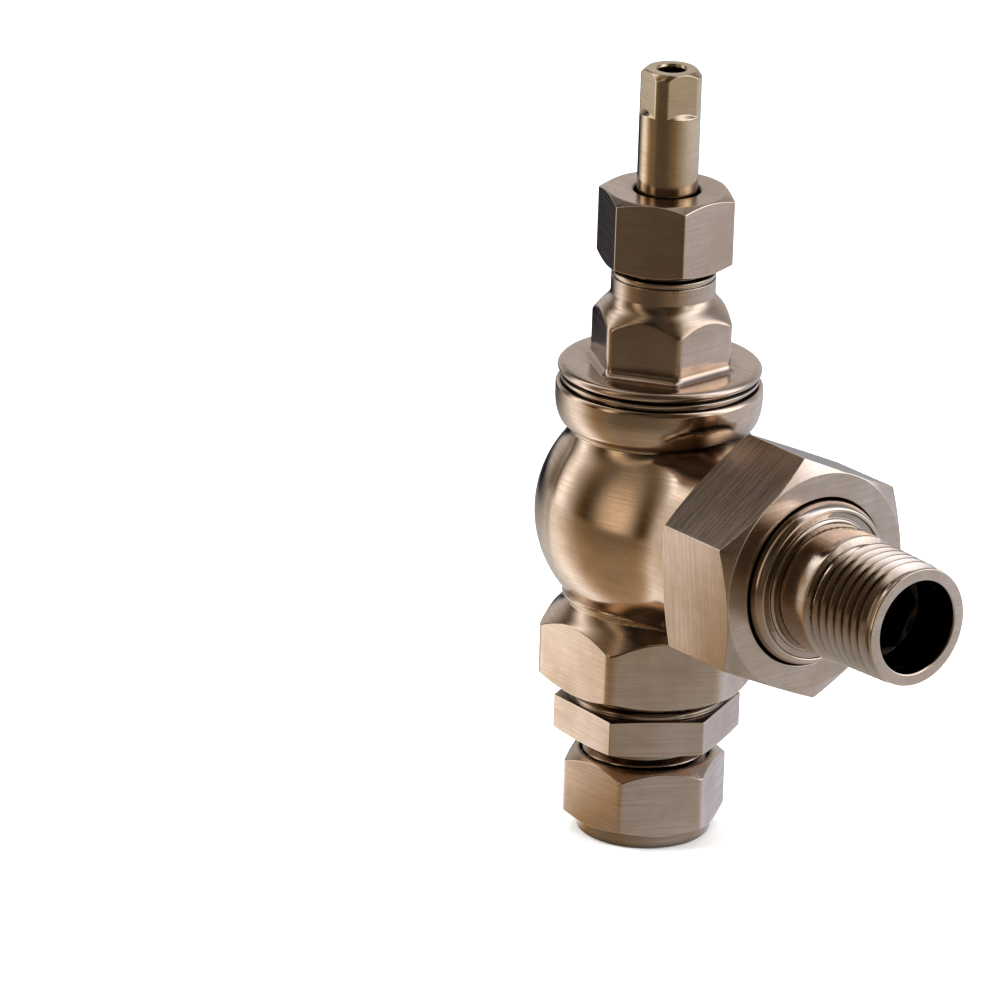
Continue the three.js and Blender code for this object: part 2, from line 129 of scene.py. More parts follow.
def rounded_rows(stations, count):
    """Rows of (radius, height) for every column. Each corner of the section is eased by its own
    setback, with a curve whose number of points grows with its size."""
    corners = [np.stack(np.broadcast_arrays(r, z, np.zeros(count))[:2], 1) for r, z, *_ in stations]
    rows = []
    for i, station in enumerate(stations):
        setback = station[2] if len(station) > 2 else 0
        here, before, after = corners[i], corners[i - 1], corners[(i + 1) % len(corners)]
        if not setback:
            rows.append(here)
            continue
        back, on = before - here, after - here
        reach_back = np.maximum(np.linalg.norm(back, axis=1), 1e-6)
        reach_on = np.maximum(np.linalg.norm(on, axis=1), 1e-6)
        start = here + back * np.minimum(setback / reach_back, LONGEST_EASE)[:, None]
        end = here + on * np.minimum(setback / reach_on, LONGEST_EASE)[:, None]
        steps = 3 if setback < 0.5 else 5 if setback < 1.5 else 9
        for t in np.linspace(0, 1, steps + 1):
            rows.append((1 - t) ** 2 * start + 2 * t * (1 - t) * here + t * t * end)
    return np.array(rows)


def shell(vertices, faces, merge=True):
    """An object from points in millimetres, with doubles merged."""
    mesh = bpy.data.meshes.new("shell")
    mesh.from_pydata(vertices.tolist(), [], faces)
    if merge:
        work = bmesh.new()
        work.from_mesh(mesh)
        bmesh.ops.remove_doubles(work, verts=work.verts, dist=WELD)
        work.to_mesh(mesh)
        work.free()
    made = bpy.data.objects.new("shell", mesh)
    bpy.context.scene.collection.objects.link(made)
    return made


def swept(stations, theta=None):
    """A closed section swept round Z. Stations are (radius, height, setback), anticlockwise seen
    with the radius to the right; radius and height are numbers or one value per column."""
    theta = even() if theta is None else theta
    rows = rounded_rows(stations, len(theta))
    count, around = rows.shape[:2]
    x = rows[:, :, 0] * np.cos(theta)
    y = rows[:, :, 0] * np.sin(theta)
    vertices = np.stack([x, y, rows[:, :, 1]], 2).reshape(-1, 3)
    faces = []
    for i in range(count):
        above = (i + 1) % count
        if not rows[i, :, 0].any() and not rows[above, :, 0].any():
            continue  # both on the axis
        for j in range(around):
            right = (j + 1) % around
            faces.append((i * around + j, i * around + right, above * around + right, above * around + j))
    return shell(vertices, faces)


def ridge(form, low, high, run_in, run_out, inward=False, taper=0.0, steps=72):
    """The helical ridge of a right-handed thread, sunk into its core. Its crest passes angle 0 at
    whole pitches, so threads of one form are in phase; an inward ridge stands half a pitch off."""
    major, minor, pitch = THREADS[form]
    root, crest = (major + THREAD_GAP, minor + THREAD_GAP) if inward else (minor, major)
    side = -1 if inward else 1
    section = THREAD_SECTION[::-1] if inward else THREAD_SECTION
    height, offset = np.array(section).T
    phase = 0.5 if inward else 0.0
    first = (low / pitch - phase + 0.5) * 2 * pi
    last = (high / pitch - phase - 0.5) * 2 * pi
    angle = np.linspace(first, last, int((last - first) / (2 * pi) * steps))
    z = (angle[:, None] / (2 * pi) + phase + offset) * pitch
    limit = np.interp(z, [low, low + run_in, high - run_out, high], [0, 1, 1, 0])
    ends = [first, first + THREAD_FADE, last - THREAD_FADE, last]
    fade = np.interp(angle, ends, [-0.2, 1, 1, -0.2])[:, None]
    rise = np.minimum(np.minimum(height, limit), fade)
    radius = root + (crest - root) * rise
    radius = np.where(height < 0, root - side * THREAD_SUNK, radius) - taper * (z - low)
    x, y = radius * np.cos(angle)[:, None], radius * np.sin(angle)[:, None]
    vertices = np.stack([x, y, z], 2).reshape(-1, 3)
    points, turns = len(section), len(angle)
    faces = [tuple(range(points)), tuple(range((turns - 1) * points, turns * points))[::-1]]
    for j in range(turns - 1):
        for i in range(points):
            up = (i + 1) % points
            faces.append((j * points + i, (j + 1) * points + i, (j + 1) * points + up, j * points + up))
    return shell(vertices, faces, merge=False)


def combined(first, others, operation="UNION"):
    """first joined with, or cut by, each of the others, which are used up."""
    for other in others:
        cut = first.modifiers.new("cut", "BOOLEAN")
        cut.object, cut.operation, cut.solver = other, operation, "MANIFOLD"
    graph = bpy.context.evaluated_depsgraph_get()
    mesh = bpy.data.meshes.new_from_object(first.evaluated_get(graph))
    first.modifiers.clear()
    first.data = mesh
    for other in others:
        bpy.data.objects.remove(other)
    return first


def along_outlet(made):
    """Lays a piece that was built round Z along the outlet."""
    co = np.array([v.co for v in made.data.vertices])
    turned = np.stack([co[:, 2], co[:, 1], OUTLET_HEIGHT - co[:, 0]], 1)
    made.data.vertices.foreach_set("co", turned.ravel())
    return made


def place(made, name, node, body, material):
    """Names a finished shell, scales it to metres and sets it on its CAD body."""
    made.name = made.data.name = name
    made.data.transform(Matrix.Scale(MM, 4))
    made.data.materials.clear()
    made.data.materials.append(material)
    work = bmesh.new()
    work.from_mesh(made.data)
    for face in work.faces:
        face.smooth = True
    for edge in work.edges:
        edge.smooth = edge.calc_face_angle(pi) < SHARP_ANGLE
    work.to_mesh(made.data)
    work.free()
    even_out = made.modifiers.new("normals", "WEIGHTED_NORMAL")
    even_out.keep_sharp = True
    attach(made, body)
    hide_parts(node)
    return made


# ---- Materials ----------------------------------------------------------------------------------

class Shader:
    """A material's node tree, with short ways to add and link nodes."""

    def __init__(self, name):
        self.material = bpy.data.materials.new(name)
        self.material.use_nodes = True
        self.tree = self.material.node_tree
        self.principled = self.tree.nodes["Principled BSDF"]

    def add(self, kind, inputs=(), **settings):
        made = self.tree.nodes.new("ShaderNode" + kind)
        for key, value in settings.items():
            setattr(made, key, value)
        for key, value in dict(inputs).items():
            if isinstance(value, bpy.types.NodeSocket):
                self.tree.links.new(value, made.inputs[key])
            else:
                made.inputs[key].default_value = value
        return made

    def math(self, operation, a, b=0.0, clamp=False):
        return self.add("Math", {0: a, 1: b}, operation=operation, use_clamp=clamp).outputs[0]

    def ramp(self, value, low, high, to_low=0.0, to_high=1.0):
        spread = {"Value": value, "From Min": low, "From Max": high, "To Min": to_low, "To Max": to_high}
        return self.add("MapRange", spread).outputs[0]

    def noise(self, scales, detail=3.0, roughness=0.55):
        where = self.add("TexCoord").outputs["Object"]
        grid = self.add("Mapping", {"Vector": where, "Scale": scales}).outputs[0]
        return self.add("TexNoise", {"Vector": grid, "Scale": 1.0, "Detail": detail,
                                     "Roughness": roughness}).outputs["Fac"]

    def mix(self, factor, a, b):
        made = self.add("Mix", data_type="RGBA")
        for key, value in {0: factor, 6: a, 7: b}.items():
            if isinstance(value, bpy.types.NodeSocket):
                self.tree.links.new(value, made.inputs[key])
            else:
                made.inputs[key].default_value = value
        return made.outputs[2]

    def set(self, **inputs):
        for key, value in inputs.items():
            socket = self.principled.inputs[key.replace("_", " ")]
            if isinstance(value, bpy.types.NodeSocket):
                self.tree.links.new(value, socket)
            else:
                socket.default_value = value


RUBBED_EDGE_AND_HIGHLIGHT = (1.0, 0.86, 0.62, 1)  # colour of rubbed edges, bright enough to be a painted highlight along them too


def darker(colour, share):
    return tuple(share * c for c in colour[:3]) + (1,)


def brushed(name, axis, base, stain, roughness, anisotropy=0.4, grain=1.0, shade=4.0, bore=None):
    """Antique metal turned and brushed round an axis: worn brass with a painted highlight on edges, dark
    with patina and painted shade in recesses that are up to shade millimetres across, and black with
    painted shade within a bore of the given radius along the outlet."""
    s = Shader(name)
    fine, coarse = 3000, 70  # streaks per metre across and along the brushing
    edge_width = 0.3
    lay = {"x": (fine, coarse, coarse), "z": (coarse, coarse, fine)}[axis]
    across = {"x": (coarse, coarse, fine), "z": (coarse, fine, coarse)}[axis]
    normal = s.add("NewGeometry").outputs["Normal"]
    split = s.add("SeparateXYZ", {0: s.add("TexCoord").outputs["Normal"]})
    end_face = s.ramp(s.math("ABSOLUTE", split.outputs[axis.upper()]), 0.8, 0.95)
    streak = s.mix(end_face, s.noise(lay, 3.0, 0.7), s.noise(across, 3.0, 0.7))
    streak = s.add("SeparateColor", {0: streak}).outputs[0]
    cloud = s.noise((60, 60, 45), 5.0, 0.6)
    patina = s.noise((230, 230, 320), 4.0, 0.6)
    # Edge mask: worn brass on convex edges that is also a painted highlight
    bevel = s.add("Bevel", {"Radius": edge_width * MM}, samples=8).outputs[0]
    dot = s.add("VectorMath", {0: bevel, 1: normal}, operation="DOT_PRODUCT").outputs["Value"]
    open_air = s.add("AmbientOcclusion", {"Distance": shade * MM}, samples=8).outputs["AO"]
    edge = s.math("MULTIPLY", s.ramp(dot, 0.999, 0.95), s.ramp(open_air, 0.6, 0.85), clamp=True)
    edge = s.math("MULTIPLY", edge, s.ramp(patina, 0.3, 0.6, 0.45, 1.0), clamp=True)
    # hollow: painted shade from ambient occlusion in recesses, plus random patina patches
    hollow = s.math("ADD", s.ramp(open_air, 0.8, 0.25), s.ramp(patina, 0.4, 0.75, 0.0, 0.12), clamp=True)
    if bore:
        out = s.add("VectorMath", {0: s.add("TexCoord").outputs["Object"], 1: (0, 0, OUTLET_HEIGHT * MM)},
                    operation="SUBTRACT").outputs[0]
        out = s.add("VectorMath", {0: out, 1: (0, 1, 1)}, operation="MULTIPLY").outputs[0]
        out = s.add("VectorMath", {0: out}, operation="LENGTH").outputs["Value"]
        # Inside the bore the colour is near-black painted shade
        hollow = s.math("MAXIMUM", hollow, s.ramp(out, (bore + 0.1) * MM, (bore - 0.1) * MM))
        # and its edges get no painted highlight
        edge = s.math("MULTIPLY", edge, s.ramp(out, (bore - 0.1) * MM, (bore + 0.1) * MM))
    colour = s.mix(s.ramp(cloud, 0.36, 0.62), stain, base)
    colour = s.mix(s.ramp(streak, 0.35, 0.65, 0.0, 0.5 * grain), colour, darker(stain, 0.8))
    # Recesses darken with patina and painted shade; the bore with darker painted shade
    colour = s.mix(hollow, colour, darker(stain, 0.06 if bore else 0.2))
    # Edges get worn brass, which also paints their highlight
    colour = s.mix(edge, colour, RUBBED_EDGE_AND_HIGHLIGHT)
    rough = s.math("ADD", s.ramp(streak, 0.3, 0.7, -0.05, 0.06 * grain), s.ramp(cloud, 0.3, 0.7, 0.03, -0.02))
    rough = s.math("ADD", rough, s.math("ADD", s.math("MULTIPLY", edge, 0.05), roughness))
    bump = s.add("Bump", {"Strength": 0.35 * grain, "Distance": 0.02 * MM, "Height": streak}).outputs[0]
    s.set(Base_Color=colour, Metallic=1.0, Roughness=rough, Normal=bump, Anisotropic=anisotropy)
    s.set(Tangent=s.add("Tangent", direction_type="RADIAL", axis=axis.upper()).outputs[0])
    return s.material


def rubber():
    s = Shader("seal_rubber")
    speck = s.noise((900, 900, 900), 3.0)
    s.set(Base_Color=s.mix(speck, (0.012, 0.012, 0.013, 1), (0.03, 0.03, 0.032, 1)), Roughness=0.62)
    s.set(Normal=s.add("Bump", {"Strength": 0.3, "Distance": 0.03 * MM, "Height": speck}).outputs[0])
    return s.material


def fibre():
    s = Shader("gland_packing_fibre")
    where = s.add("TexCoord").outputs["Object"]
    lay = s.add("Mapping", {"Vector": where, "Rotation": (0.6, 0.0, 0.4)}).outputs[0]
    twist = s.add("TexWave", {"Vector": lay, "Scale": 320.0, "Distortion": 2.0, "Detail": 2.0}).outputs["Fac"]
    s.set(Base_Color=s.mix(twist, (0.50, 0.48, 0.43, 1), (0.80, 0.78, 0.72, 1)), Roughness=0.75)
    s.set(Normal=s.add("Bump", {"Strength": 0.6, "Distance": 0.15 * MM, "Height": twist}).outputs[0])
    return s.material


antique_z = brushed(
    "antique_brass_upright", "z", base=(0.73, 0.58, 0.49, 1), stain=(0.55, 0.41, 0.30, 1), roughness=0.18)
antique_x = brushed(
    "antique_brass_outlet", "x", base=(0.71, 0.59, 0.51, 1), stain=(0.54, 0.41, 0.31, 1), roughness=0.18)
cast = brushed(
    "antique_brass_casting", "z", base=(0.75, 0.59, 0.47, 1), stain=(0.56, 0.41, 0.29, 1), roughness=0.15,
    anisotropy=0.1, grain=0.8, shade=6)
# The tail's bore is painted near-black as shade
tail_metal = brushed(
    "antique_brass_tail", "x", base=(0.72, 0.60, 0.51, 1), stain=(0.56, 0.43, 0.33, 1), roughness=0.12,
    anisotropy=0.2, grain=0.5, shade=3, bore=TAIL_BORE)
spindle_metal = brushed(
    "spindle_brass", "z", base=(0.76, 0.60, 0.42, 1), stain=(0.58, 0.43, 0.27, 1), roughness=0.16,
    anisotropy=0.3, grain=0.8)
plain_brass = brushed(
    "bare_brass", "z", base=(0.82, 0.64, 0.34, 1), stain=(0.62, 0.45, 0.22, 1), roughness=0.24,
    anisotropy=0.4, grain=0.7)
seal_rubber = rubber()
packing_fibre = fibre()


# ---- Inlet --------------------------------------------------------------------------------------

def compression_nut():
    low, high = extent("compression_nut")
    bar = Bar("compression_nut")
    theta = bar.angles()
    hexagon = bar.radius(theta)
    foot, crown, wall = bar.flats / 2, 11.4, 10.75
    bottom = low + 2.6 + (hexagon - foot) * 0.54
    top = high - (hexagon - crown) * 0.72
    nut = swept([
        (7.7, low, 0.15), (11.3, low, 1.1), (11.3, low + 2.45, 0.1), (foot, low + 2.6, 0.12),
        (hexagon, bottom, 0.15), (hexagon, top, 0.15), (crown, high, 0.2), (11.0, high, 0.1),
        (wall, high - 0.5, 0.1), (wall, low + 5.6, 0.1), (10.3, low + 4.9, 0.1), (9.3, low + 4.8, 0.1),
        (7.7, low + 3, 0.1),
    ], theta)
    return combined(nut, [ridge("compression", low + 5.8, high - 0.8, 0.8, 0.6, inward=True)])


def pipe_adaptor():
    low, high = extent("pipe_adaptor")
    bar = Bar("pipe_adaptor")
    theta = bar.angles()
    hexagon = bar.radius(theta)
    hex_low, hex_high = low + 10.4, low + 16.55
    out = hexagon - bar.flats / 2
    core, pipe = THREADS["compression"][1], 7.7
    adaptor = swept([
        (8.6, low, 0.15), (core - 0.3, low, 0.2), (core, low + 0.4, 0.1), (core, hex_low - 1.5, 0.1),
        (core - 0.25, hex_low - 1.2, 0.2), (core - 0.25, hex_low, 0.3), (11.9, hex_low, 0.1),
        (12.2, hex_low - 0.15, 0.1), (13.1, hex_low, 0.1), (hexagon, hex_low + out * 0.16, 0.14),
        (hexagon, hex_high - out * 0.05, 0.14), (13.0, hex_high, 0.2), (12.9, hex_high + 0.15, 0.1),
        (12.9, low + 17.2, 0.2), (12.4, low + 17.7, 0.1), (9.5, low + 17.7, 0.2), (9.3, low + 19.0, 0.2),
        (10.2, low + 20.2, 0.2), (10.2, high - 0.6, 0.2), (9.6, high, 0.2), (6.3, high, 0.2),
        (6.3, low + 14, 0.2), (pipe, low + 13.5, 0.2), (pipe, low + 2.4, 0.1), (8.0, low + 2.2, 0.1),
    ], theta)
    return combined(adaptor, [ridge("compression", low + 0.1, hex_low - 1.3, 1.4, 0.9)])


def ring_section(radius, height, section, steps=16):
    around = np.linspace(-pi, pi, steps, endpoint=False)
    return [(radius + section * cos(a), height + section * sin(a)) for a in around]


def o_ring(node, axis="z"):
    low, high = extent(node, axis)
    reach = extent(node, "y")[1]
    section = (high - low) / 2
    return swept(ring_section(reach - section, (low + high) / 2, section))


def washer(node, inner, setback=0.12):
    low, high = extent(node)
    outer = extent(node, "x")[1]
    corners = [(inner, low), (outer, low), (outer, high), (inner, high)]
    return swept([corner + (setback,) for corner in corners])


def olive():
    low, high = extent("olive")
    return swept([
        (7.65, low, 0.1), (8.1, low, 0.2), (8.5, low + 1, 0.4), (8.5, low + 2.4, 0.6), (7.9, high, 0.1),
        (7.65, high, 0.1),
    ])


# ---- Body ---------------------------------------------------------------------------------------

GLOBE = 19.8  # radii of the casting and its three necks
OUTLET_NECK = 16.15
UPPER_NECK, UPPER_END = 14.5, 17.5  # and how far from the globe's centre two of them end
LOWER_NECK, LOWER_END = 14.2, 16.6
OUTLET_FILLET, UPRIGHT_FILLET, STEP_FILLET = 5.0, 1.3, 0.1


def eased_union(a, b, radius):
    """Signed distance to two joined shapes with a fillet of about that radius between them."""
    h = np.clip(0.5 + 0.5 * (b - a) / radius, 0, 1)
    return b * (1 - h) + a * h - radius * h * (1 - h)


def casting(end, around=168, along=150):
    """The globe flowing into its three necks, as one radius for every direction from its centre."""
    tilt = (1 - np.cos(np.linspace(0, pi, along))) / 2 * pi
    turn = even(around)
    tilt, turn = np.meshgrid(tilt, turn, indexing="ij")
    direction = np.stack([np.cos(tilt), np.sin(tilt) * np.cos(turn), np.sin(tilt) * np.sin(turn)], 2)

    def field(distance):
        x, y, z = np.moveaxis(direction * distance[..., None], 2, 0)
        globe = distance - GLOBE
        outlet = np.maximum(np.hypot(y, z) - OUTLET_NECK, np.maximum(x - end, -x))
        upright = np.hypot(x, y)
        upper = np.maximum(upright - UPPER_NECK, np.maximum(z - UPPER_END, -z))
        lower = np.maximum(upright - LOWER_NECK, np.maximum(-z - LOWER_END, z))
        necks = eased_union(upper, lower, STEP_FILLET)
        return eased_union(eased_union(globe, outlet, OUTLET_FILLET), necks, UPRIGHT_FILLET)

    near, far = np.full(tilt.shape, 5.0), np.full(tilt.shape, 45.0)  # the surface is between them
    for _ in range(28):
        middle = (near + far) / 2
        outside = field(middle) > 0
        near, far = np.where(outside, near, middle), np.where(outside, middle, far)
    points = direction * near[..., None] + np.array([0, 0, OUTLET_HEIGHT])
    vertices = points.reshape(-1, 3)
    faces = []
    for i in range(along - 1):
        for j in range(around):
            right = (j + 1) % around
            below = (i + 1) * around
            faces.append((i * around + j, below + j, below + right, i * around + right))
    return shell(vertices, faces)


def body_hexagon(low):
    bar = Bar("valve_body")
    theta = bar.angles(8, 15)
    hexagon = bar.radius(theta)
    bottom = low + 0.25 + (hexagon - 15.3) * 0.56
    top = low + 14.0 - (hexagon - 14.6) * 0.93
    return swept([
        (10.5, low, 0.1), (15.0, low, 0.2), (15.3, low + 0.25, 0.15), (hexagon, bottom, 0.2),
        (hexagon, top, 0.25), (14.9, low + 13.75, 0.9), (14.1, low + 14.9, 0.3), (14.1, low + 15.3, 0.2),
        (14.75, low + 15.5, 0.2), (14.8, low + 16.3, 0.25), (14.2, low + 16.7, 0.2), (13.9, low + 17.2, 0.1),
        (13.0, low + 17.6), (10.5, low + 17.6),
    ], theta)


def body_collar(top):
    return swept([
        (12.4, top - 12), (13.9, top - 11.0), (14.6, top - 8.6, 0.3), (14.9, top - 8.3, 0.3),
        (14.9, top - 7.9, 0.5), (16.2, top - 7.2, 1.2), (17.06, top - 4.6, 2.0), (17.06, top - 1.0, 0.35),
        (16.7, top - 0.5, 0.2), (15.7, top - 0.5, 0.12), (15.7, top, 0.1), (12.4, top, 0.15),
    ])


def outlet_spigot(start, end):
    core, neck = THREADS["union"][1], OUTLET_NECK + 0.05
    spigot = swept([
        (9.0, start), (neck, start, 0.1), (neck, start + 2.4, 0.3), (core, start + 3.3, 0.2),
        (core, end - 0.4, 0.1), (core - 0.4, end, 0.1), (9.0, end, 0.1),
    ])
    return combined(spigot, [ridge("union", start + 2.9, end - 0.05, 1.6, 1.8)])


def waterways(low, top, end):
    """What is hollow in the body: the inlet bore, seat, chamber, bonnet bore and outlet bore."""
    seat = low + 21
    wall = [(16 * cos(a), OUTLET_HEIGHT + 16 * sin(a)) for a in np.radians(np.linspace(-40.5, 38.5, 15))]
    upright = swept([
        (0, low - 2), (10.9, low - 2), (10.9, low, 0.2), (10.5, low + 0.5, 0.1), (10.5, low + 11.1, 0.1),
        (6, low + 11.5, 0.3), (6, seat, 0.25), (7.6, seat, 0.25), (8.4, seat - 1.3), *wall,
        (12.4, top - 12.1, 0.2), (12.4, top + 2), (0, top + 2),
    ])
    outlet = swept([
        (0, 0), (9, 0), (9, end - 4.5, 0.2), (11, end - 4.5, 0.2), (11, end - 0.6, 0.1), (11.6, end, 0.1),
        (11.6, end + 2), (0, end + 2),
    ])
    return [upright, along_outlet(outlet)]


def valve_body():
    low, top = extent("valve_body")
    end = extent("valve_body", "x")[1]
    start = extent("union_nut", "x")[0] - 1.9
    spigot = along_outlet(outlet_spigot(start, end))
    outside = combined(casting(start + 0.9), [body_hexagon(low), body_collar(top), spigot])
    return combined(outside, waterways(low, top, end), "DIFFERENCE")


# ---- Bonnet, gland and spindle ------------------------------------------------------------------

def bonnet():
    low, high = extent("bonnet")
    flange = low + 12.4  # top of the flange
    bar = Bar("bonnet")
    theta = bar.angles(8, 15)
    hexagon = bar.radius(theta)
    shoulder = flange + 9.6 - (hexagon - 10.3) * 1.15
    neck, core = 8.6, THREADS["gland"][1]
    made = swept([
        (9.2, low, 0.2), (11.4, low, 0.2), (12.1, low + 0.7, 0.2), (12.1, flange - 2.15),
        (15.6, flange - 2.15, 0.1), (15.6, flange - 1.6, 0.1), (16.5, flange - 1.6, 0.25),
        (16.77, flange - 1.2, 0.25), (16.77, flange - 0.65, 0.35), (16.2, flange - 0.1, 0.4),
        (15.2, flange, 0.3), (hexagon + 0.9, flange - 0.1, 0.25), (hexagon, flange + 0.55, 0.5),
        (hexagon, shoulder, 0.5), (10.0, flange + 10.1, 0.7), (neck + 0.4, flange + 11.1, 0.8),
        (neck, flange + 12.0, 0.3), (neck, high - 9.5, 0.08), (neck - 0.3, high - 9.4, 0.05),
        (neck - 0.3, high - 9.15, 0.05), (neck, high - 9.05, 0.08), (neck, high - 8.45, 0.15),
        (core, high - 8.3, 0.15), (core, high - 0.4, 0.1), (core - 0.4, high, 0.1), (6.7, high, 0.2),
        (6.7, low + 22.5, 0.1), (5.3, low + 22.5, 0.1), (5.3, low + 19), (6.2, low + 18.5),
        (6.2, low + 4.6), (9.2, low + 4, 0.2),
    ], theta)
    threads = [
        ridge("gland", high - 7.6, high - 0.05, 1.0, 1.1),
        ridge("spindle", low + 4.7, low + 18.4, 1.0, 1.0, inward=True),
    ]
    return combined(made, threads)


def gland_nut():
    low, high = extent("gland_nut")
    bar = Bar("gland_nut")
    theta = bar.angles()
    hexagon = bar.radius(theta)
    crown, wall = 9.75, THREADS["gland"][0] + THREAD_GAP
    nut = swept([
        (9.0, low, 0.15), (crown, low, 0.1), (hexagon, low + (hexagon - crown) * 0.45, 0.13),
        (hexagon, high - (hexagon - crown) * 0.52, 0.13), (crown, high, 0.12), (5.75, high, 0.1),
        (5.45, high - 0.25, 0.1), (5.45, high - 2.2, 0.1), (wall, high - 2.2, 0.1), (wall, low + 0.6, 0.1),
    ], theta)
    return combined(nut, [ridge("gland", low + 0.8, high - 2.8, 0.8, 0.8, inward=True)])


def gland_follower():
    low, high = extent("gland_follower")
    return swept([
        (5.4, low, 0.15), (6.4, low, 0.2), (6.4, high - 1.3, 0.15), (7.4, high - 1.3, 0.15), (7.4, high, 0.2),
        (5.4, high, 0.15),
    ])


def spindle():
    low, high = extent("spindle")
    shaft, half, turn = 5.0, 4.2, radians(-12.3)  # radius, half across flats, turn of the square
    edge = np.arccos(half / shaft)
    quarter = np.concatenate([np.linspace(-edge, edge, 22), np.linspace(edge, pi / 2 - edge, 11)[1:-1]])
    theta = np.concatenate([turn + k * pi / 2 + quarter for k in range(4)])
    phi = (theta - turn + pi / 4) % (pi / 2) - pi / 4
    square = np.minimum(shaft, half / np.cos(phi))
    foot = high - 7.4  # of the square
    journal, crown = 4.1, 4.08
    core = THREADS["spindle"][1]
    made = swept([
        (0, low), (3.7, low, 0.1), (journal, low + 0.4, 0.1), (journal, low + 2.4, 0.08),
        (3.3, low + 2.4, 0.08), (3.3, low + 3.6, 0.08), (journal, low + 3.6, 0.08), (journal, low + 16, 0.2),
        (core, low + 16.6, 0.2), (core, low + 26.4, 0.2), (shaft, low + 26.7, 0.15), (shaft, foot, 0.08),
        (square, foot + (shaft - square) * 0.8, 0.1), (square, high - (square - crown) * 0.95, 0.1),
        (crown, high, 0.1), (2.6, high, 0.1), (2.3, high - 0.4, 0.05), (2.3, high - 8, 0.1), (0, high - 9),
    ], theta)
    return combined(made, [ridge("spindle", low + 16.3, low + 26.5, 1.0, 1.0)])


def spindle_clip():
    low, high = extent("spindle_clip")
    theta = np.linspace(radians(16), radians(344), 90)  # open over 32 degrees
    section = [(3.5, low), (4.9, low), (4.9, high), (3.5, high)]
    vertices = [(r * cos(a), r * sin(a), z) for a in theta for r, z in section]
    faces = [(0, 1, 2, 3), tuple(range(4 * len(theta) - 4, 4 * len(theta)))[::-1]]
    for j in range(len(theta) - 1):
        for i in range(4):
            up = (i + 1) % 4
            faces.append((4 * j + i, 4 * j + 4 + i, 4 * j + 4 + up, 4 * j + up))
    return shell(np.array(vertices), faces)


# ---- Plug ---------------------------------------------------------------------------------------

def plug_holder():
    low, high = extent("plug_holder")
    return swept([
        (0, low + 5.7), (2.2, low + 5.7, 0.1), (2.2, low + 1.9, 0.1), (7.5, low + 1.9, 0.1), (7.5, low, 0.1),
        (8.3, low, 0.2), (8.3, low + 4.2, 0.3), (7.7, low + 4.8, 0.3), (6.2, low + 5.2, 0.5),
        (6.2, high - 0.5, 0.2), (5.7, high, 0.2), (4.4, high, 0.1), (4.4, high - 1.1, 0.08),
        (5.3, high - 1.1, 0.08), (5.3, high - 2.9, 0.08), (4.4, high - 2.9, 0.08), (4.4, low + 6.4, 0.1),
        (0, low + 6.4),
    ])


def seat_washer():
    return washer("seat_washer", 2.3, 0.25)


def seat_washer_screw():
    low, high = extent("seat_washer_screw")
    screw = swept([
        (0, low), (2.3, low, 0.2), (3, low + 0.6, 0.2), (3, low + 1.5, 0.1), (1.9, low + 1.5, 0.1),
        (1.9, high - 0.3, 0.1), (1.6, high, 0.1), (0, high),
    ])
    slot = bmesh.new()
    across = Matrix.Translation((0, 0, low)) @ Matrix.Diagonal((8, 0.8, 1, 1))
    bmesh.ops.create_cube(slot, size=1, matrix=across)
    mesh = bpy.data.meshes.new("slot")
    slot.to_mesh(mesh)
    slot.free()
    cutter = bpy.data.objects.new("slot", mesh)
    bpy.context.scene.collection.objects.link(cutter)
    return combined(screw, [cutter], "DIFFERENCE")


# ---- Outlet -------------------------------------------------------------------------------------

def radiator_tail():
    nose, end = extent("radiator_tail", "x")
    flange = nose + 4.4
    collar_end = flange + 7.3
    thread_start, thread_end = end - 15.2, end - 0.6
    taper = 1 / 32
    core = THREADS["tail"][1]
    tip = core - taper * (thread_end - thread_start)
    bore = 6.6
    hollow = Bar("radiator_tail")
    theta = np.sort(np.concatenate([hollow.angles(4, 10), even(96)]) % (2 * pi))
    theta = theta[np.append(True, np.diff(theta) > 1e-3)]
    hexagon = hollow.radius(theta)
    made = swept([
        (bore, nose, 0.1), (10.3, nose, 0.1), (10.7, nose + 0.4, 0.1), (10.7, nose + 1.2, 0.1),
        (9.5, nose + 1.2, 0.1), (9.5, nose + 3, 0.1), (10.7, nose + 3, 0.1), (10.7, flange, 0.1),
        (15, flange, 0.15), (15, flange + 2.3, 0.15), (13.85, flange + 2.3, 0.1),
        (13.85, collar_end - 1.6, 1.3), (13.1, collar_end - 0.15, 0.8), (12.4, collar_end - 0.1, 0.35),
        (12.3, collar_end - 0.5, 0.1), (11.25, collar_end - 0.5, 0.1), (11.2, collar_end - 0.2, 0.12),
        (10.76, collar_end, 0.15), (10.74, collar_end + 0.6, 0.1),
        (10.72, (collar_end + thread_start) / 2, 0.1), (10.71, thread_start - 0.8, 0.1),
        (10.7, thread_start - 0.1, 0.15), (core, thread_start + 0.7, 0.15), (tip, thread_end - 0.2, 0.1),
        (tip, end - 0.55, 0.05), (9.9, end - 0.5, 0.12), (9.75, end, 0.1), (7.95, end, 0.12),
        (TAIL_BORE, end - 0.25, 0.12), (7.7, end - 8.7, 0.1), (hexagon, end - 9.0, 0.1),
        (hexagon, end - 13.8, 0.1), (bore, end - 14, 0.1),
    ], theta)
    thread = ridge("tail", thread_start - 0.1, thread_end, 1.6, 1.3, taper=taper, steps=96)
    return along_outlet(combined(made, [thread]))


def tail_o_ring():
    return along_outlet(o_ring("tail_o_ring", "x"))


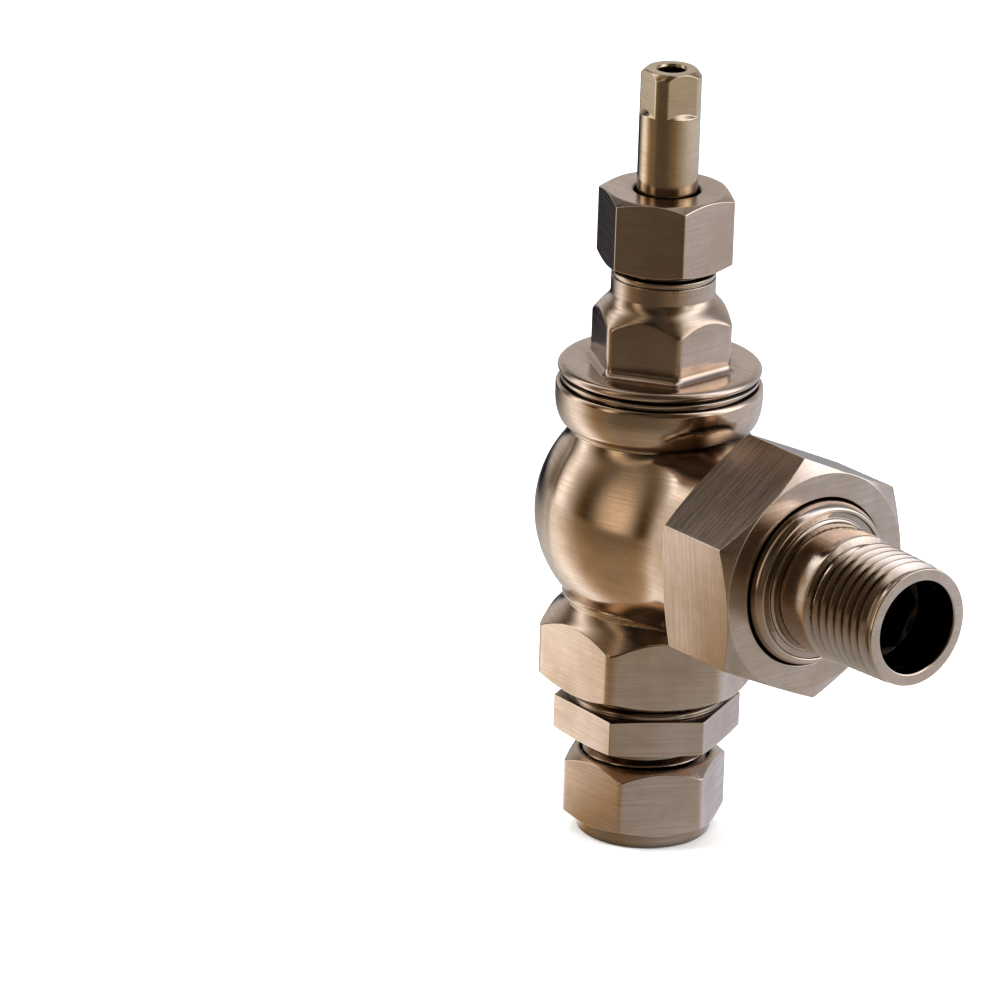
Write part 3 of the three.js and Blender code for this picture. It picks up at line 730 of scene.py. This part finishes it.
def union_nut():
    low, high = extent("union_nut", "x")
    bar = Bar("union_nut")
    theta = bar.angles()
    hexagon = bar.radius(theta)
    crown, wall = 18.3, THREADS["union"][0] + THREAD_GAP
    nut = swept([
        (17.2, low, 0.15), (crown, low, 0.1), (hexagon, low + (hexagon - crown) * 0.31, 0.13),
        (hexagon, high - (hexagon - crown) * 0.51, 0.13), (crown, high, 0.1), (14.3, high, 0.12),
        (14.05, high - 0.3, 0.1), (14.0, high - 2.3, 0.1), (wall, high - 2.3, 0.1), (wall, low + 1.8, 0.1),
        (17.2, low + 1.6, 0.1),
    ], theta)
    thread = ridge("union", low + 1.9, high - 3.4, 1.0, 0.8, inward=True)
    return along_outlet(combined(nut, [thread]))


# ---- Pieces on their bodies ---------------------------------------------------------------------

PACKING_BORE, PACKING_EASE = 5.15, 0.5

PIECES = [  # what makes it, the CAD node it stands for, its body, material slot and material
    (valve_body, "valve_body", "body", "antique_brass", cast),
    (pipe_adaptor, "pipe_adaptor", "body", "antique_brass", antique_z),
    (lambda: o_ring("adaptor_o_ring"), "adaptor_o_ring", "body", "rubber", seal_rubber),
    (bonnet, "bonnet", "body", "antique_brass", antique_z),
    (lambda: washer("bonnet_washer", 12.6), "bonnet_washer", "body", "bare_brass", antique_z),
    (lambda: washer("packing_washer", 5.4), "packing_washer", "body", "bare_brass", plain_brass),
    (lambda: washer("gland_packing_lower", PACKING_BORE, PACKING_EASE),
     "gland_packing_lower", "body", "packing", packing_fibre),
    (lambda: washer("gland_packing_upper", PACKING_BORE, PACKING_EASE),
     "gland_packing_upper", "body", "packing", packing_fibre),
    (plug_holder, "plug_holder", "plug", "bare_brass", plain_brass),
    (seat_washer, "seat_washer", "plug", "rubber", seal_rubber),
    (lambda: washer("seat_washer_plate", 2.1), "seat_washer_plate", "plug", "bare_brass", plain_brass),
    (seat_washer_screw, "seat_washer_screw", "plug", "bare_brass", plain_brass),
    (spindle, "spindle", "stem", "spindle_brass", spindle_metal),
    (spindle_clip, "spindle_clip", "stem", "bare_brass", plain_brass),
    (gland_follower, "gland_follower", "gland", "bare_brass", plain_brass),
    (gland_nut, "gland_nut", "gland_nut_body", "antique_brass", antique_z),
    (radiator_tail, "radiator_tail", "tail", "antique_brass", tail_metal),
    (tail_o_ring, "tail_o_ring", "tail", "rubber", seal_rubber),
    (union_nut, "union_nut", "union_nut_body", "antique_brass", antique_x),
    (olive, "olive", "ferrule", "bare_brass", plain_brass),
    (compression_nut, "compression_nut", "inlet_nut_body", "antique_brass", antique_z),
]
for make, node, body, slot, material in PIECES:
    place(make(), node + "_fine", node, body, material)


# ---- Camera -------------------------------------------------------------------------------------

AZIMUTH, ELEVATION, ROLL = radians(50.7), radians(20.1), radians(1.89)
DISTANCE, LENS, SENSOR = 1.47255, 323.47, 36  # metres, then millimetres
OFFSET = (0.02602, 0.01635)  # metres by which the lens axis passes left of and below the aim
AIM = Vector((0, 0, 0.075))

back = Vector((sin(AZIMUTH) * cos(ELEVATION), -cos(AZIMUTH) * cos(ELEVATION), sin(ELEVATION)))
level = Vector((cos(AZIMUTH), sin(AZIMUTH), 0))
rise = back.cross(level)
right = level * cos(ROLL) + rise * sin(ROLL)
up = rise * cos(ROLL) - level * sin(ROLL)
camera = bpy.data.objects.new("camera", bpy.data.cameras.new("camera"))
bpy.context.scene.collection.objects.link(camera)
camera.data.lens, camera.data.sensor_width = LENS, SENSOR
camera.data.clip_start, camera.data.clip_end = 0.05, 20
turned = Matrix((right, up, back)).transposed().to_4x4()
place_of_camera = AIM + back * DISTANCE - right * OFFSET[0] - up * OFFSET[1]
camera.matrix_world = Matrix.Translation(place_of_camera) @ turned
bpy.context.scene.camera = camera


# ---- Studio -------------------------------------------------------------------------------------

def toward(turn, height=0.0):
    """A direction that many degrees to the right of the camera's, as seen from the valve."""
    a = AZIMUTH + radians(turn)
    return Vector((sin(a) * cos(radians(height)), -cos(a) * cos(radians(height)), sin(radians(height))))


TENT = 0.45  # radius of the studio tent
BRIGHTEST = 2.5  # what the amounts are divided by to fit a colour ramp
WARM, NEUTRAL, COOL = (1.0, 0.80, 0.58), (1.0, 1.0, 1.0), (0.92, 0.98, 1.14)
# What the tent gives off round the valve: degrees to the right of the camera, amount, tint. The stops
# were set from readings of the photograph's brightness, so they roughly record its reflections.
LIGHT = {
    "near_floor": [
        (-180, 0.6, NEUTRAL), (-140, 0.68, NEUTRAL), (-118, 1.0, NEUTRAL), (-100, 1.45, NEUTRAL),
        (-78, 0.6, WARM), (-50, 0.34, WARM), (-20, 0.36, WARM), (20, 0.42, NEUTRAL), (60, 0.6, NEUTRAL),
        (85, 0.76, COOL), (140, 0.72, COOL),
    ],
    "far_floor": [
        (-180, 0.3, COOL), (-165, 0.06, COOL), (-145, 0.06, COOL), (-128, 0.5, NEUTRAL),
        (-105, 1.3, NEUTRAL), (-82, 0.45, WARM), (-55, 0.18, WARM), (-30, 0.12, WARM), (0, 0.16, WARM),
        (30, 0.34, WARM), (60, 0.52, NEUTRAL), (90, 0.74, COOL), (140, 0.72, COOL),
    ],
    "low_wall": [
        (-180, 0.6, NEUTRAL), (-158, 0.62, NEUTRAL), (-140, 0.6, NEUTRAL), (-124, 0.2, WARM),
        (-112, 0.6, NEUTRAL), (-103, 1.75, NEUTRAL), (-95, 1.1, NEUTRAL), (-84, 0.3, WARM),
        (-68, 0.16, WARM), (-57, 1.3, WARM), (-46, 0.16, WARM), (-30, 0.14, WARM), (0, 0.07, WARM),
        (30, 0.09, WARM), (44, 0.3, NEUTRAL), (52, 1.7, NEUTRAL), (60, 0.6, NEUTRAL), (70, 1.6, NEUTRAL),
        (80, 2.5, COOL), (95, 2.2, COOL), (112, 0.7, COOL), (145, 0.6, NEUTRAL),
    ],
    "high_wall": [
        (-180, 0.65, NEUTRAL), (-134, 0.06, WARM), (-122, 0.2, WARM), (-109, 1.7, NEUTRAL),
        (-99, 0.8, NEUTRAL), (-88, 0.35, WARM), (-70, 0.16, WARM), (-58, 0.6, WARM), (-42, 0.08, WARM),
        (0, 0.08, WARM), (40, 0.2, WARM), (56, 1.1, NEUTRAL), (76, 2.2, COOL), (92, 1.6, COOL),
        (112, 0.4, COOL), (150, 0.5, NEUTRAL),
    ],
}


def tent_light():
    """Soft light given off by the tent, which changes round the valve and with height."""
    s = Shader("tent_light")
    where = s.add("SeparateXYZ", {0: s.add("TexCoord").outputs["Object"]}).outputs
    turn = s.math("ARCTAN2", where[0], s.math("MULTIPLY", where[1], -1.0))
    turn = s.ramp(turn, -pi, pi)
    bands = {}
    for name, stops in LIGHT.items():
        band = s.add("ValToRGB", {0: turn})
        band.color_ramp.interpolation = "CARDINAL"
        elements = band.color_ramp.elements
        elements[0].position, elements[1].position = 0, 1
        for degrees, *_ in stops[1:]:
            elements.new((degrees + 180) / 360)
        for element, (_, amount, tint) in zip(elements, stops + stops[:1]):
            element.color = tuple(amount * c / BRIGHTEST for c in tint) + (1,)
        bands[name] = band.outputs[0]
    out = s.math("SQRT", s.math("ADD", s.math("POWER", where[0], 2.0), s.math("POWER", where[1], 2.0)))
    floor = s.mix(s.ramp(out, 0.10, 0.26), bands["near_floor"], bands["far_floor"])
    wall = s.mix(s.ramp(where[2], 0.14, 0.32), bands["low_wall"], bands["high_wall"])
    wall = s.mix(s.ramp(where[2], 0.38, 0.6), wall, (0.05, 0.045, 0.04, 1))
    glow = s.mix(s.ramp(where[2], 0.002, 0.05), floor, wall)
    s.set(Base_Color=(0, 0, 0, 1), Roughness=1.0, Specular_IOR_Level=0.0)
    s.set(Emission_Color=glow, Emission_Strength=BRIGHTEST)
    return s.material


def tent():
    """A closed dome on a disc that only reflections can see."""
    theta = even(64)
    wall = [(TENT * cos(a), TENT * sin(a)) for a in np.radians(np.linspace(0, 90, 13))]
    profile = [(0.001, 0), (TENT * 0.3, 0), (TENT * 0.7, 0)] + wall
    points = [(r * cos(a), r * sin(a), z) for r, z in profile for a in theta]
    count = len(theta)
    faces = []
    for i in range(len(profile) - 1):
        for j in range(count):
            on = (j + 1) % count
            faces.append((i * count + j, (i + 1) * count + j, (i + 1) * count + on, i * count + on))
    mesh = bpy.data.meshes.new("tent")
    mesh.from_pydata(points, [], faces)
    mesh.materials.append(tent_light())
    made = bpy.data.objects.new("tent", mesh)
    bpy.context.scene.collection.objects.link(made)
    made.location.z = -0.0005  # just under the floor
    made.rotation_euler.z = AZIMUTH
    made.visible_camera = made.visible_diffuse = made.visible_shadow = made.visible_transmission = False


def softbox(name, turn, height, distance, width, tall, watts, colour=(1, 1, 1)):
    """A soft lamp that reflections can't see, aimed at the valve."""
    lamp = bpy.data.lights.new(name, "AREA")
    lamp.shape, lamp.size, lamp.size_y, lamp.energy, lamp.color = "RECTANGLE", width, tall, watts, colour
    made = bpy.data.objects.new(name, lamp)
    bpy.context.scene.collection.objects.link(made)
    way = toward(turn, height)
    made.location = AIM + way * distance
    made.rotation_mode = "QUATERNION"
    made.rotation_quaternion = way.to_track_quat("Z", "Y")
    made.visible_glossy = False


def pale_floor():
    s = Shader("pale_floor")
    tone = s.noise((3, 3, 3), 2.0)
    s.set(Base_Color=s.mix(tone, (0.87, 0.87, 0.87, 1), (0.9, 0.9, 0.9, 1)))
    s.set(Roughness=0.9, Specular_IOR_Level=0.1)
    mesh = bpy.data.meshes.new("floor")
    size = 6
    corners = [(-size, -size, 0), (size, -size, 0), (size, size, 0), (-size, size, 0)]
    mesh.from_pydata(corners, [], [(0, 1, 2, 3)])
    mesh.materials.append(s.material)
    made = bpy.data.objects.new("floor", mesh)
    bpy.context.scene.collection.objects.link(made)
    made.visible_glossy = False


def room():
    world = bpy.data.worlds.new("room")
    world.use_nodes = True
    shade = world.node_tree.nodes["Background"]
    shade.inputs["Color"].default_value = (0.96, 0.97, 1.0, 1)
    shade.inputs["Strength"].default_value = 0.75
    bpy.context.scene.world = world


pale_floor()
room()
tent()
softbox("key_left", turn=-82, height=28, distance=1.1, width=0.5, tall=0.9, watts=16,
        colour=(1, 0.97, 0.92))
softbox("key_right", turn=62, height=24, distance=1.1, width=0.4, tall=0.8, watts=16,
        colour=(1, 0.98, 0.96))
softbox("overhead", turn=180, height=80, distance=1.3, width=1.2, tall=1.2, watts=14)
bpy.context.scene.view_settings.view_transform = "Standard"
